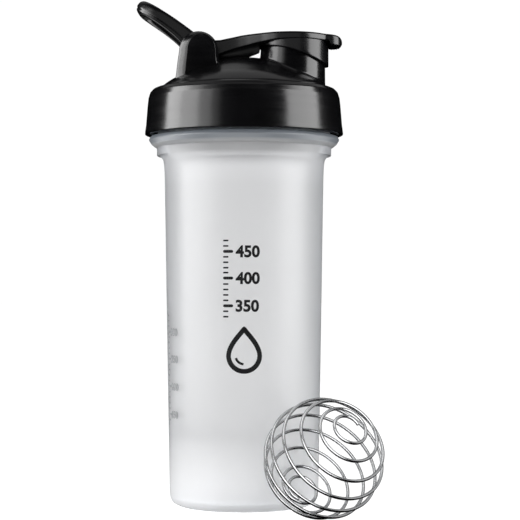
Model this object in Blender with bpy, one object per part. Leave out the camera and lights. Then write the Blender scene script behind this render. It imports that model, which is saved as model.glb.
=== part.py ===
"""Protein shaker bottle: translucent tumbler, screw lid with spout, flip cap, carry loop and wire whisk ball.

World frame: origin at the centre of the tumbler's underside, +Z up along the bottle's axis,
+X from the hinge side towards the drinking spout. Sizes below are in millimetres and are
turned into metres where the meshes are made.
"""

import math

import bmesh
import bpy
from mathutils import Matrix, Vector

MM = 0.001

# ---------------------------------------------------------------- driving dimensions (mm)
SEG = 48                      # facets round the big turned pieces

# tumbler
BASE_FLAT_R = 19.0            # flat disc in the middle of the underside
BASE_GROOVE = (20.5, 28.0, 1.2)   # shallow moulded groove: inner R, outer R, depth
FOOT_R = 32.4
WALL = 1.7
FLOOR_Z = 3.2
LEDGE_Z0, LEDGE_Z1 = 167.0, 170.8
COLLAR_R, COLLAR_Z = 45.8, 174.6
NECK_R = 41.4                 # outside of the neck
NECK_BORE_R = 39.5
RIM_Z = 194.6

# screw thread: two starts, right hand
LEAD = 12.0                   # rise per turn
LUG_SWEEP = 168.0             # degrees covered by each ridge
RIDGE_CREST_R = 43.4
RIDGE_Z0 = 183.0              # centre of a bottle ridge where it starts
LID_LUG_CREST_R = 41.95
LID_LUG_DROP = LEAD / 4.0     # lid lugs run this far under the bottle's ridges

# lid
SKIRT_R, SKIRT_Z = 47.7, 177.0
SKIRT_BORE_R = 44.0
GROOVE_Z = 196.6              # ceiling above the sealing ring
PLUG_RING = (37.0, 38.9, 190.2)   # inner R, outer R, lower edge of the ring inside the neck
DOME_WALL = 2.1

# hinge, shared by the flip cap and the carry loop
HINGE_X, HINGE_Z = -21.8, 216.3
PIN_R = 1.75
PIN_HOLE_R = 2.0
TOWER_OUT, TOWER_IN = 18.0, 14.8  # faces of each hinge tower, measured from the middle plane
TOWER_X, TOWER_Z, TOWER_R = -21.5, 215.95, 9.2

# spout
SPOUT_X = 23.4
SPOUT_R_BASE, SPOUT_R_TOP = 15.7, 15.4
SPOUT_BORE_R = 12.1
SPOUT_TOP = 219.4

# flip cap
CAP_ARM_W = 8.6               # half width of the arm
CAP_PLATE_R = 17.5
CAP_TIP_X = 47.1
KNUCKLE_R = 5.3
KNUCKLE_W = 10.3
GUARD_R_IN, GUARD_R_OUT = 16.0, 17.25
STOPPER_R = 11.7

# carry loop, drawn along a direction leaning back and up from the hinge
LOOP_ANGLE = 145.0
LOOP_OUT_W, LOOP_IN_W = 14.5, 10.8
LOOP_OUT_L, LOOP_IN_L = 37.4, 29.3
LOOP_HUB_R = 5.2

# sealing ring
SEAL = (39.3, 43.3, 194.9, 196.3)

# whisk ball: one wire wound in a spiral on a sphere, from a small ring at one pole to one at the other
BALL_C = (35.8, -53.95, 27.5)
BALL_R = 27.4                 # outside
WIRE_R = 0.76
POLE_AZ, POLE_EL = 0.477, 0.629   # where the first pole points, radians
POLE_AZ_BOW, POLE_EL_DRIFT = 0.034, 0.036  # how the winding axis leans along the way, radians
SPIRAL_PHASE, SPIRAL_TURNS = 4.35, 9.97
SPIRAL_START, SPIRAL_END = 0.273, 0.301    # angle of the first and last full ring from its pole, radians
SPIRAL_WAVES = (0.053, 0.105, 0.048, 0.051)  # how uneven the hand-wound pitch is, in turns
HEAD_TURN, HEAD_STEP = 0.66, 0.055         # ring that closes the first pole: turns, and how far it runs in
TAIL_TURN, TAIL_STEP = 1.0, 0.078


# ---------------------------------------------------------------- helpers
def clear_scene():
    for o in list(bpy.data.objects):
        bpy.data.objects.remove(o, do_unlink=True)


def material(name, rgb, roughness, metallic=0.0, transmission=0.0):
    m = bpy.data.materials.new(name)
    m.use_nodes = True
    p = m.node_tree.nodes["Principled BSDF"]
    p.inputs["Base Color"].default_value = (*rgb, 1.0)
    p.inputs["Roughness"].default_value = roughness
    p.inputs["Metallic"].default_value = metallic
    p.inputs["Transmission Weight"].default_value = transmission
    return m


def add_mesh(name, verts, faces, mat=None, origin=(0.0, 0.0, 0.0), sharp=32.0, helper=False):
    """An object from millimetre points in the world frame; its origin is put at `origin`."""
    o = Vector(origin)
    mesh = bpy.data.meshes.new(name)
    mesh.from_pydata([tuple((Vector(v) - o) * MM) for v in verts], [], faces)
    bm = bmesh.new()
    bm.from_mesh(mesh)
    bmesh.ops.recalc_face_normals(bm, faces=bm.faces)
    bm.to_mesh(mesh)
    bm.free()
    mesh.shade_smooth()
    mesh.set_sharp_from_angle(angle=math.radians(sharp))
    obj = bpy.data.objects.new(name, mesh)
    obj.location = o * MM
    bpy.context.scene.collection.objects.link(obj)
    if mat:
        mesh.materials.append(mat)
    if helper:
        obj.hide_render = True
        obj.display_type = "WIRE"
    return obj


def boolean(obj, other, operation):
    mod = obj.modifiers.new(f"{operation.lower()}_{other.name}", "BOOLEAN")
    mod.operation = operation
    mod.solver = "EXACT"
    mod.object = other


def interp(x, points):
    """Piecewise linear through (x, y) points, flat beyond both ends."""
    if x <= points[0][0]:
        return points[0][1]
    for (x0, y0), (x1, y1) in zip(points, points[1:]):
        if x <= x1:
            return y0 + (y1 - y0) * (x - x0) / (x1 - x0)
    return points[-1][1]


def smoothstep(t):
    t = max(0.0, min(1.0, t))
    return t * t * (3 - 2 * t)


def turned(profile, seg, cx=0.0, cy=0.0, ring=False):
    """Verts and faces of a turned body. profile(angle) gives its (radius, height) rows.
    Without ring, the first and last rows lie on the axis; with ring, the rows close on themselves."""
    rows = [profile(2 * math.pi * j / seg) for j in range(seg)]
    n = len(rows[0])
    verts, index = [], {}
    for i in range(n):
        pole = not ring and i in (0, n - 1)
        for j in range(seg):
            if pole and j:
                index[i, j] = index[i, 0]
                continue
            r, z = rows[j][i]
            a = 2 * math.pi * j / seg
            index[i, j] = len(verts)
            verts.append((cx + r * math.cos(a), cy + r * math.sin(a), z))
    faces = []
    for i in range(n if ring else n - 1):
        k = (i + 1) % n
        for j in range(seg):
            l = (j + 1) % seg
            f = [index[i, j], index[i, l], index[k, l], index[k, j]]
            f = [v for q, v in enumerate(f) if v != f[q - 1]]
            if len(f) > 2:
                faces.append(f)
    return verts, faces


def loft(sections):
    """Closed sections of equal length joined in order, with a flat cap at each end."""
    n = len(sections[0])
    verts = [p for s in sections for p in s]
    faces = []
    for i in range(len(sections) - 1):
        for j in range(n):
            k = (j + 1) % n
            faces.append([i * n + j, i * n + k, (i + 1) * n + k, (i + 1) * n + j])
    faces.append(list(range(n))[::-1])
    last = (len(sections) - 1) * n
    faces.append([last + j for j in range(n)])
    return verts, faces


def cylinder_y(name, x, z, r, y0, y1, seg, mat=None, origin=None, chamfer=0.0, helper=False):
    """A cylinder along Y, its ends chamfered where asked."""
    stations = [(y0, r - chamfer), (y0 + chamfer, r), (y1 - chamfer, r), (y1, r - chamfer)] if chamfer else [(y0, r), (y1, r)]
    sections = [
        [
            (x + q * math.cos(2 * math.pi * j / seg), y, z + q * math.sin(2 * math.pi * j / seg))
            for j in range(seg)
        ]
        for y, q in stations
    ]
    return add_mesh(name, *loft(sections), mat=mat, origin=origin or (0, 0, 0), helper=helper)


# ---------------------------------------------------------------- materials
def make_materials():
    return {
        "tumbler": material("frosted_plastic", (0.86, 0.88, 0.90), 0.35, 0.0, 0.7),
        "black": material("black_plastic", (0.018, 0.018, 0.020), 0.38),
        "cap": material("black_cap_plastic", (0.016, 0.016, 0.018), 0.34),
        "loop": material("black_loop_plastic", (0.017, 0.017, 0.019), 0.36),
        "pin": material("pin_plastic", (0.03, 0.03, 0.032), 0.45),
        "seal": material("seal_silicone", (0.22, 0.23, 0.24), 0.6),
        "wire": material("whisk_steel", (0.62, 0.62, 0.63), 0.22, 1.0),
    }


# ---------------------------------------------------------------- screw thread
def lug_height(deg):
    """0 to 1: how far a two-start ridge stands out at this angle, ramped at both ends."""
    a = deg % 180.0
    ramp = 14.0
    if a > LUG_SWEEP:
        return 0.0
    return smoothstep(a / ramp) * smoothstep((LUG_SWEEP - a) / ramp)


def lug_rise(deg):
    """Height of the ridge above where it starts; it comes back down where no ridge stands."""
    a = deg % 180.0
    if a <= LUG_SWEEP:
        return LEAD * a / 360.0
    top = LEAD * LUG_SWEEP / 360.0
    return top * (180.0 - a) / (180.0 - LUG_SWEEP)


def ridge_rows(deg, root, crest, z0):
    h = lug_height(deg)
    z = z0 + lug_rise(deg)
    r = root + (crest - root) * h
    return [(root, z - 1.25), (r, z - 0.65), (r, z + 0.65), (root, z + 1.25)]


# ---------------------------------------------------------------- tumbler
def wall_r(z):
    """Outside radius of the tapering wall."""
    return interp(z, [(14, 35.8), (60, 36.6), (110, 37.4), (158, 38.2), (163.8, 38.7)])


def tab(angle):
    """1 where one of the two stops under the collar stands, at the left and right of the bottle, 0 elsewhere."""
    return smoothstep((abs(math.cos(angle)) - math.cos(math.radians(31))) / (math.cos(math.radians(22)) - math.cos(math.radians(31))))


def tumbler_profile(angle):
    gi, go, gd = BASE_GROOVE
    rows = [(0, 0), (BASE_FLAT_R, 0), (gi, gd), (go, gd), (go + 1.6, 0), (FOOT_R - 0.6, 0), (34.2, 1.4), (35.4, 4.0)]
    rows += [(wall_r(z), z) for z in (14, 60, 158)]
    t = tab(angle)
    rows += [(r0 + (r1 - r0) * t, z) for r0, r1, z in ((39.5, 39.0, 165.9), (40.0, 41.4, LEDGE_Z0), (40.3, 41.9, LEDGE_Z0 + 0.7), (41.6, 41.9, LEDGE_Z1))]
    rows += [(44.5, 172.5), (COLLAR_R, COLLAR_Z), (44.9, 176.2), (NECK_R, 176.6)]
    rows += ridge_rows(math.degrees(angle), NECK_R, RIDGE_CREST_R, RIDGE_Z0)
    rows += [(NECK_R, 193.7), (NECK_R - 0.8, RIM_Z), (NECK_BORE_R + 0.5, RIM_Z), (NECK_BORE_R, RIM_Z - 0.5)]
    rows += [(NECK_BORE_R, 172.0), (37.4, 165.2)]
    rows += [(wall_r(z) - WALL, z) for z in (158, 60, 14)]
    rows += [(32.6, 5.6), (28.5, FLOOR_Z + 0.1), (0, FLOOR_Z)]
    return rows


# ---------------------------------------------------------------- lid
DOME = [
    (0, 214.0), (7, 213.8), (14, 212.8), (21.8, 209.9), (30.0, 205.9), (34.3, 204.0),
    (36.8, 202.3), (39.4, 200.4), (40.4, 199.2), (41.0, 198.4), (41.6, 198.7), (42.3, 199.4),
    (44.0, 198.5), (45.0, 197.5), (45.6, 196.6), (46.2, 193.7), (47.5, 177.1),
]


def dome_z(r):
    return interp(r, DOME)


def lid_profile(angle):
    pi_, po, pz = PLUG_RING
    rows = [(0, 214.0), (6, 213.85), (12, 213.1), (17, 211.9), (21.8, 209.9), (30.0, 205.9), (36.8, 202.3), (39.6, 200.2)]
    rows += [(41.0, 198.4), (41.9, 199.3), (43.6, 198.8), (45.1, 197.3), (45.9, 195.2), (46.4, 192.0), (SKIRT_R, 178.2), (46.9, SKIRT_Z)]
    rows += [(SKIRT_BORE_R + 0.4, SKIRT_Z)]
    rows += ridge_rows(math.degrees(angle), SKIRT_BORE_R, LID_LUG_CREST_R, RIDGE_Z0 - LID_LUG_DROP)
    rows += [(SKIRT_BORE_R, 195.9), (SKIRT_BORE_R - 0.6, GROOVE_Z), (po, GROOVE_Z), (po, pz + 0.6), (po - 0.5, pz), (pi_, pz)]
    rows += [(pi_, 198.6), (33.6, 201.9), (27.2, 205.0), (19.2, 208.8), (13, 210.9), (6, 211.8), (0, 214.0 - DOME_WALL)]
    return rows


def spout_profile(angle):
    """Solid spout: its foot follows the dome, just under the dome's surface."""
    def foot(q):
        x = SPOUT_X + q * math.cos(angle)
        y = q * math.sin(angle)
        return dome_z(math.hypot(x, y)) - 0.9

    b, t = SPOUT_R_BASE, SPOUT_R_TOP
    rows = [(0, foot(0) - 0.4), (SPOUT_BORE_R - 1.5, foot(SPOUT_BORE_R - 1.5)), (b - 1.6, foot(b - 1.6)), (b, foot(b))]
    rows += [(b - 0.12, 212.0), (t, SPOUT_TOP - 0.7), (t - 0.2, SPOUT_TOP - 0.2), (t - 0.7, SPOUT_TOP), (SPOUT_BORE_R - 1.0, SPOUT_TOP), (0, SPOUT_TOP)]
    return rows


def tower_ring(y, inset):
    """Outline of a hinge tower at distance y from the middle plane. inset 0 is the full outline,
    inset 1 the flat oval on its outer face."""
    cx, half = -20.1, 6.5
    points = [(-32.4, 201.5, True), (-31.6, 208.0, False)]
    for i in range(17):
        a = math.radians(180 - 180 * i / 16)
        points.append((TOWER_X + TOWER_R * math.cos(a), TOWER_Z + TOWER_R * math.sin(a), False))
    points += [(-12.0, 212.8, False), (-11.6, 210.0, True)]
    points += [(-11.6 + (-32.4 + 11.6) * f, 0, True) for f in (0.25, 0.5, 0.75)]
    ring = []
    for x, z, on_dome in points:
        x1 = cx + (x - TOWER_X) * half / TOWER_R
        if not on_dome and z >= TOWER_Z:
            z1 = TOWER_Z + (z - TOWER_Z) * 7.8 / TOWER_R
        else:
            z1 = z
        xx = x + (x1 - x) * inset
        zz = z + (z1 - z) * inset
        if on_dome:
            zz = dome_z(math.hypot(xx, y)) - 0.9
        ring.append((xx, y, zz))
    return ring


def make_lid(mats):
    lid = add_mesh("lid_shell", *turned(lid_profile, SEG), mat=mats["black"])
    spout = add_mesh("spout_form", *turned(spout_profile, 40, SPOUT_X, 0.0), helper=True)
    boolean(lid, spout, "UNION")
    for name, side in (("tower_front_form", -1), ("tower_rear_form", 1)):
        rings = [(TOWER_IN, 0.0), (TOWER_OUT - 2.6, 0.0), (TOWER_OUT - 1.7, 0.18), (TOWER_OUT - 0.7, 0.6), (TOWER_OUT, 1.0)]
        tower = add_mesh(name, *loft([tower_ring(side * y, k) for y, k in rings]), helper=True)
        boolean(lid, tower, "UNION")
    bore = add_mesh("spout_bore_cut", *turned(lambda a: [(0, 192), (SPOUT_BORE_R, 192), (SPOUT_BORE_R, 216), (SPOUT_BORE_R, SPOUT_TOP - 0.6), (SPOUT_BORE_R + 0.9, SPOUT_TOP + 0.3), (SPOUT_BORE_R + 0.9, 226), (0, 226)], 40, SPOUT_X, 0.0), helper=True)
    boolean(lid, bore, "DIFFERENCE")
    pin_cut = cylinder_y("pin_hole_cut", HINGE_X, HINGE_Z, PIN_HOLE_R, -16.5, 19.0, 20, helper=True)
    boolean(lid, pin_cut, "DIFFERENCE")
    return lid


# ---------------------------------------------------------------- flip cap
CAP_TOP = [
    (-24, 221.3), (-17, 221.8), (-11.9, 221.95), (-8.2, 222.6), (-4.4, 223.3), (-0.7, 223.95), (6.8, 224.6),
    (14.4, 224.95), (24, 225.05), (35, 224.95), (40, 224.75), (43.5, 224.4), (45.5, 223.8), (46.6, 222.9), (CAP_TIP_X, 221.9),
]
CAP_LOW = [
    (-24, 213.0), (-16, 213.4), (-12, 214.9), (-8, 216.3), (-4, 217.5), (1.1, 218.7), (9.5, 220.4), (16, 221.2), (24, 221.5),
    (40.3, 221.6), (41.2, 219.9), (43, 219.4), (45.5, 219.5), (46.6, 220.1), (CAP_TIP_X, 220.8),
]


CAP_ARM = [(-12, CAP_ARM_W), (-8, 8.9), (-4, 9.6), (0, 10.7), (4, 12.1), (8, 13.5), (12, 14.7), (15, 15.0), (18, 14.4), (22, 11.5), (26, 7.0)]


def cap_half_width(x):
    arm = interp(x, CAP_ARM) if x < 26 else 0.0
    circle = math.sqrt(max(0.0, CAP_PLATE_R ** 2 - (x - SPOUT_X) ** 2))
    q = max(0.0, min(1.0, (x - 38.0) / (CAP_TIP_X + 0.05 - 38.0)))
    tab = 9.9 * (1 - q ** 2.6) ** (1 / 2.6) if x > 24 else 0.0
    return (arm ** 9 + circle ** 9 + tab ** 9) ** (1 / 9)


def cap_section(x):
    w, t, b = cap_half_width(x), interp(x, CAP_TOP), interp(x, CAP_LOW)
    c = min(0.9, (t - b) * 0.3, w * 0.3)
    crown = min(0.5, w * 0.05)
    half = [
        (w, b + c), (w, t - c), (w - c * 0.3, t - c * 0.3), (w - c, t), (w * 0.5, t + crown * 0.8),
    ]
    ring = [(x, y, z) for y, z in half]
    ring += [(x, 0.0, t + crown)]
    ring += [(x, -y, z) for y, z in reversed(half)]
    ring += [(x, -(w - c), b), (x, 0.0, b), (x, w - c, b)]
    return ring


def guard_low(x):
    """Lower edge of the skirt that hangs round the spout; it runs up into the plate at the hinge side."""
    if x < 12.5:
        return 220.0 - 1.3 * (x - 5.5) / 7.0
    return 218.7 - 8.7 * min(1.0, (x - 12.5) / 28.2) ** 1.4


def make_flip_cap(mats):
    o = (HINGE_X, 0.0, HINGE_Z)
    stations = [-24 + 4 * i for i in range(6)] + [-2, 1, 3.5, 6, 8, 9.5, 11, 12.5, 14, 16, 18.5, 21.5, 24.5, 27.5, 30.5, 33.5, 36, 38, 39.5, 40.3, 41.0, 42, 43.2, 44.4, 45.4, 46.1, 46.6, 46.9, CAP_TIP_X]
    cap = add_mesh("flip_cap", *loft([cap_section(x) for x in stations]), mat=mats["cap"], origin=o)
    knuckle = cylinder_y("knuckle_form", HINGE_X, HINGE_Z, KNUCKLE_R, -KNUCKLE_W, KNUCKLE_W, 28, chamfer=0.5, helper=True)
    boolean(cap, knuckle, "UNION")
    rib_pts = [(-17, 217), (-13, 213.75), (-8, 214.2), (-3, 214.4), (1.2, 214.5), (2.6, 215.15), (5.0, 216.1), (7.3, 217.05), (7.6, 218.2), (7.6, 221.0), (-4, 220.5), (-17, 219)]
    rib = add_mesh("arm_rib_form", *loft([[(x, y, z) for x, z in rib_pts] for y in (-2.6, 2.6)]), helper=True)
    boolean(cap, rib, "UNION")

    def guard(a):
        x = SPOUT_X + GUARD_R_OUT * math.cos(a)
        z = guard_low(x)
        return [(GUARD_R_IN, 222.9), (GUARD_R_IN, z + 0.15), (GUARD_R_IN + 0.2, z), (GUARD_R_OUT - 0.25, z), (GUARD_R_OUT, z + 0.3), (GUARD_R_OUT - 0.05, 222.9)]

    boolean(cap, add_mesh("guard_form", *turned(guard, 36, SPOUT_X, 0.0, ring=True), helper=True), "UNION")

    def stopper(a):
        s = STOPPER_R
        return [(0, 223.0), (s, 223.0), (s, 216.6), (s - 0.45, 214.8), (s - 1.1, 214.4), (s - 1.9, 214.9), (s - 2.0, 220.2), (0, 220.3)]

    boolean(cap, add_mesh("stopper_form", *turned(stopper, 32, SPOUT_X, 0.0), helper=True), "UNION")
    for i in range(3):
        x = 42.6 + 1.2 * i
        groove = cylinder_y(f"grip_groove_{i}_cut", x, 219.3, 0.5, -12, 12, 8, helper=True)
        boolean(cap, groove, "DIFFERENCE")
    hole = cylinder_y("knuckle_hole_cut", HINGE_X, HINGE_Z, PIN_HOLE_R, -14, 14, 20, helper=True)
    boolean(cap, hole, "DIFFERENCE")
    return cap


# ---------------------------------------------------------------- carry loop
LOOP_HIGH = [(0, 4.8), (4, 5.6), (7, 6.0), (17, 6.2), (24.5, 6.0), (31, 5.75), (34.8, 5.5), (LOOP_OUT_L, 4.9)]
LOOP_LOW = [(0, -4.6), (5, -3.2), (9, -1.7), (15.6, -0.75), (22, -0.5), (28.9, -0.7), (33.4, -0.95), (36, -0.5), (LOOP_OUT_L, 0.3)]


def loop_point(d, y, n):
    """World point from along-the-loop d, across y, and n square to the loop on its upper side."""
    a = math.radians(LOOP_ANGLE)
    return (
        HINGE_X + d * math.cos(a) + n * math.sin(a),
        y,
        HINGE_Z + d * math.sin(a) - n * math.cos(a),
    )


def loop_edge(t, straight, end, width, power):
    """Point (d, y) of a U-shaped edge, t from -1 at one hub over 0 at the tip to 1 at the other hub."""
    s, u = (1.0 if t > 0 else -1.0), abs(t)
    if u > 0.5:
        return straight * (1 - u) / 0.5, s * width
    a = u / 0.5 * math.pi / 2
    return (
        straight + (end - straight) * math.cos(a) ** (2 / power),
        s * width * math.sin(a) ** (2 / power),
    )


def make_carry_loop(mats):
    steps = 44
    sections = []
    for i in range(steps + 1):
        t = -1 + 2 * i / steps
        do, yo = loop_edge(t, 22.0, LOOP_OUT_L, LOOP_OUT_W, 2.5)
        di, yi = loop_edge(t, 16.5, LOOP_IN_L, LOOP_IN_W, 2.3)
        ring = []
        for f, k in ((0.0, 0.2), (0.22, 0.0), (0.78, 0.0), (1.0, 0.2), (1.0, 0.8), (0.78, 1.0), (0.22, 1.0), (0.0, 0.8)):
            d, y = di + (do - di) * f, yi + (yo - yi) * f
            low, high = interp(d, LOOP_LOW), interp(d, LOOP_HIGH)
            ring.append(loop_point(d, y, low + (high - low) * k))
        sections.append(ring)
    o = (HINGE_X, 0.0, HINGE_Z)
    loop = add_mesh("carry_loop", *loft(sections), mat=mats["loop"], origin=o)
    for name, s in (("loop_hub_front_form", -1), ("loop_hub_rear_form", 1)):
        y0, y1 = sorted((s * (LOOP_IN_W + 0.02), s * (LOOP_OUT_W - 0.02)))
        boolean(loop, cylinder_y(name, HINGE_X, HINGE_Z, LOOP_HUB_R, y0, y1, 28, helper=True), "UNION")
    boolean(loop, cylinder_y("loop_hole_cut", HINGE_X, HINGE_Z, PIN_HOLE_R, -18, 18, 20, helper=True), "DIFFERENCE")
    return loop


# ---------------------------------------------------------------- whisk ball
def spiral_point(theta, phi):
    az = POLE_AZ + POLE_AZ_BOW * math.sin(theta)
    el = POLE_EL + POLE_EL_DRIFT * smoothstep(theta / math.pi)
    e3 = Vector((math.cos(el) * math.sin(az), -math.cos(el) * math.cos(az), math.sin(el)))
    e1 = Vector((math.cos(az), math.sin(az), 0.0))
    e2 = e3.cross(e1)
    s = math.sin(theta)
    return Vector(BALL_C) + (BALL_R - WIRE_R) * (e1 * s * math.cos(phi) + e2 * s * math.sin(phi) + e3 * math.cos(theta))


def spiral_phase(theta):
    uneven = sum(a * math.sin((k + 1) * theta) for k, a in enumerate(SPIRAL_WAVES))
    return SPIRAL_PHASE + 2 * math.pi * (SPIRAL_TURNS * theta / math.pi + uneven)


def ball_line(n):
    """Centre line of the wire in n steps of equal length: head ring, spiral, tail ring."""
    start, end = SPIRAL_START, math.pi - SPIRAL_END
    p0, p1 = spiral_phase(start), spiral_phase(end)
    angles = [(start - HEAD_STEP * (1 - k / 40), p0 - 2 * math.pi * HEAD_TURN * (1 - k / 40)) for k in range(40)]
    for k in range(2401):
        theta = math.acos(math.cos(start) + (math.cos(end) - math.cos(start)) * k / 2400)
        angles.append((theta, spiral_phase(theta)))
    angles += [(end + TAIL_STEP * k / 60, p1 + 2 * math.pi * TAIL_TURN * k / 60) for k in range(1, 61)]
    line = [spiral_point(*a) for a in angles]
    run = [0.0]
    for a, b in zip(line, line[1:]):
        run.append(run[-1] + (b - a).length)
    out, i = [], 0
    for k in range(n + 1):
        s = run[-1] * k / n
        while i < len(line) - 2 and run[i + 1] < s:
            i += 1
        out.append(line[i].lerp(line[i + 1], min(1.0, (s - run[i]) / (run[i + 1] - run[i]))))
    return out


def make_whisk_ball(mats):
    n, sides = 330, 6
    centre = ball_line(n)
    sections = []
    for i, p in enumerate(centre):
        tangent = (centre[min(i + 1, n)] - centre[max(i - 1, 0)]).normalized()
        outward = (p - Vector(BALL_C)).normalized()
        across = tangent.cross(outward).normalized()
        outward = across.cross(tangent).normalized()
        sections.append([
            tuple(p + WIRE_R * (outward * math.cos(2 * math.pi * j / sides) + across * math.sin(2 * math.pi * j / sides)))
            for j in range(sides)
        ])
    return add_mesh("whisk_ball", *loft(sections), mat=mats["wire"], origin=BALL_C, sharp=75)


# ---------------------------------------------------------------- assembly
def keep_parent(child, parent):
    bpy.context.view_layer.update()
    world = child.matrix_world.copy()
    child.parent = parent
    child.matrix_parent_inverse = parent.matrix_world.inverted()
    child.matrix_world = world


def main():
    clear_scene()
    mats = make_materials()
    tumbler = add_mesh("bottle_body", *turned(tumbler_profile, SEG), mat=mats["tumbler"])
    lid = make_lid(mats)
    si, so, s0, s1 = SEAL
    seal = add_mesh(
        "lid_seal",
        *turned(lambda a: [(si, s0), (so - 0.4, s0), (so, s0 + 0.4), (so, s1 - 0.4), (so - 0.4, s1), (si, s1)], SEG, ring=True),
        mat=mats["seal"],
    )
    pin = cylinder_y("hinge_pin", HINGE_X, HINGE_Z, PIN_R, -16.2, 17.6, 20, mat=mats["pin"], origin=(HINGE_X, 0.0, HINGE_Z), chamfer=0.3)
    cap = make_flip_cap(mats)
    loop = make_carry_loop(mats)
    make_whisk_ball(mats)

    axis = bpy.data.objects.new("hinge_axis", None)
    axis.location = Vector((HINGE_X, 0.0, HINGE_Z)) * MM
    bpy.context.scene.collection.objects.link(axis)
    keep_parent(axis, lid)
    for piece in (cap, loop, pin):
        keep_parent(piece, axis)
    keep_parent(lid, seal)
    bpy.context.view_layer.update()


main()
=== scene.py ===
import math

import bmesh
import bpy
import numpy as np
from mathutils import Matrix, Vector


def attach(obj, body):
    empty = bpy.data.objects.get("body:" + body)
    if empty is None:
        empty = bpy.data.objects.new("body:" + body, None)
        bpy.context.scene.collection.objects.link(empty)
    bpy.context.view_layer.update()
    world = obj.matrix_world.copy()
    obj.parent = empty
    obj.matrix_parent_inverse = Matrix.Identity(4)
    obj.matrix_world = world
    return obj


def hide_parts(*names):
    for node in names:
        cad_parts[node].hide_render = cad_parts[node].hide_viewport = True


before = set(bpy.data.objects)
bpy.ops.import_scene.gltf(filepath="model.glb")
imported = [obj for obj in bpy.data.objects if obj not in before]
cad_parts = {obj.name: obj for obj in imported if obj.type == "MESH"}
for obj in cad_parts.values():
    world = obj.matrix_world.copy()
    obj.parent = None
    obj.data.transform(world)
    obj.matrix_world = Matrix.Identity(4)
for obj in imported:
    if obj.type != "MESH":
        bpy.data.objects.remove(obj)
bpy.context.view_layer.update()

MM = 0.001

# ---------------------------------------------------------------- driving dimensions (mm)
SEG = 224

BASE_FLAT_R = 19.0
BASE_GROOVE = (20.5, 28.0, 1.2)
FOOT_R = 32.4
WALL = 1.7
FLOOR_Z = 3.2
LEDGE_Z0, LEDGE_Z1 = 167.0, 170.8
COLLAR_R, COLLAR_Z = 45.8, 174.6
NECK_R, NECK_BORE_R = 41.4, 39.5
RIM_Z = 194.6

LEAD = 12.0
LUG_SWEEP = 168.0
RIDGE_CREST_R = 43.4
RIDGE_Z0 = 183.0
LID_LUG_CREST_R = 41.95
LID_LUG_DROP = LEAD / 4.0

SKIRT_R, SKIRT_Z = 47.7, 177.0
SKIRT_BORE_R = 44.0
GROOVE_Z = 196.6
PLUG_RING = (37.0, 38.9, 190.2)
DOME_WALL = 2.1

HINGE_X, HINGE_Z = -21.8, 216.3
PIN_R, PIN_HOLE_R = 1.75, 2.0
TOWER_OUT, TOWER_IN = 18.0, 14.8
TOWER_X, TOWER_Z, TOWER_R = -21.5, 215.95, 9.2

SPOUT_X = 23.4
SPOUT_R_BASE, SPOUT_R_TOP = 15.7, 15.4
SPOUT_BORE_R = 12.1
SPOUT_TOP = 219.4

CAP_ARM_W = 8.6
CAP_PLATE_R = 17.5
CAP_TIP_X = 47.1
KNUCKLE_R, KNUCKLE_W = 5.3, 10.3
GUARD_R_IN, GUARD_R_OUT = 16.0, 17.25
STOPPER_R = 11.7

LOOP_ANGLE = 145.0
LOOP_OUT_W, LOOP_IN_W = 14.5, 10.8
LOOP_OUT_L, LOOP_IN_L = 37.4, 29.3
LOOP_HUB_R = 5.2

SEAL = (39.3, 43.3, 194.9, 196.3)

BALL_C = (35.8, -53.95, 27.5)
BALL_R = 27.4
WIRE_R = 0.76
POLE_AZ, POLE_EL = 0.477, 0.629
POLE_AZ_BOW, POLE_EL_DRIFT = 0.034, 0.036
SPIRAL_PHASE, SPIRAL_TURNS = 4.35, 9.97
SPIRAL_START, SPIRAL_END = 0.273, 0.301
SPIRAL_WAVES = (0.053, 0.105, 0.048, 0.051)
HEAD_TURN, HEAD_STEP = 0.66, 0.055
TAIL_TURN, TAIL_STEP = 1.0, 0.078


# ---------------------------------------------------------------- helpers
def smoothstep(t):
    t = max(0.0, min(1.0, t))
    return t * t * (3 - 2 * t)


def interp(x, points):
    if x <= points[0][0]:
        return points[0][1]
    for (x0, y0), (x1, y1) in zip(points, points[1:]):
        if x <= x1:
            return y0 + (y1 - y0) * (x - x0) / (x1 - x0)
    return points[-1][1]


def smooth_curve(points):
    """A function through (x, y) points that keeps their rises and falls and has no corners."""
    xs = [p[0] for p in points]
    ys = [p[1] for p in points]
    n = len(xs)
    d = [(ys[i + 1] - ys[i]) / (xs[i + 1] - xs[i]) for i in range(n - 1)]
    m = [d[0]] + [0.0] * (n - 2) + [d[-1]]
    for i in range(1, n - 1):
        if d[i - 1] * d[i] > 0:
            h0, h1 = xs[i] - xs[i - 1], xs[i + 1] - xs[i]
            w0, w1 = 2 * h1 + h0, h1 + 2 * h0
            m[i] = (w0 + w1) / (w0 / d[i - 1] + w1 / d[i])

    def f(x):
        if x <= xs[0]:
            return ys[0]
        if x >= xs[-1]:
            return ys[-1]
        i = next(k for k in range(n - 1) if x <= xs[k + 1])
        h = xs[i + 1] - xs[i]
        t = (x - xs[i]) / h
        return (
            (1 + 2 * t) * (1 - t) ** 2 * ys[i] + t * (1 - t) ** 2 * h * m[i]
            + t * t * (3 - 2 * t) * ys[i + 1] + t * t * (t - 1) * h * m[i + 1]
        )

    return f


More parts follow.
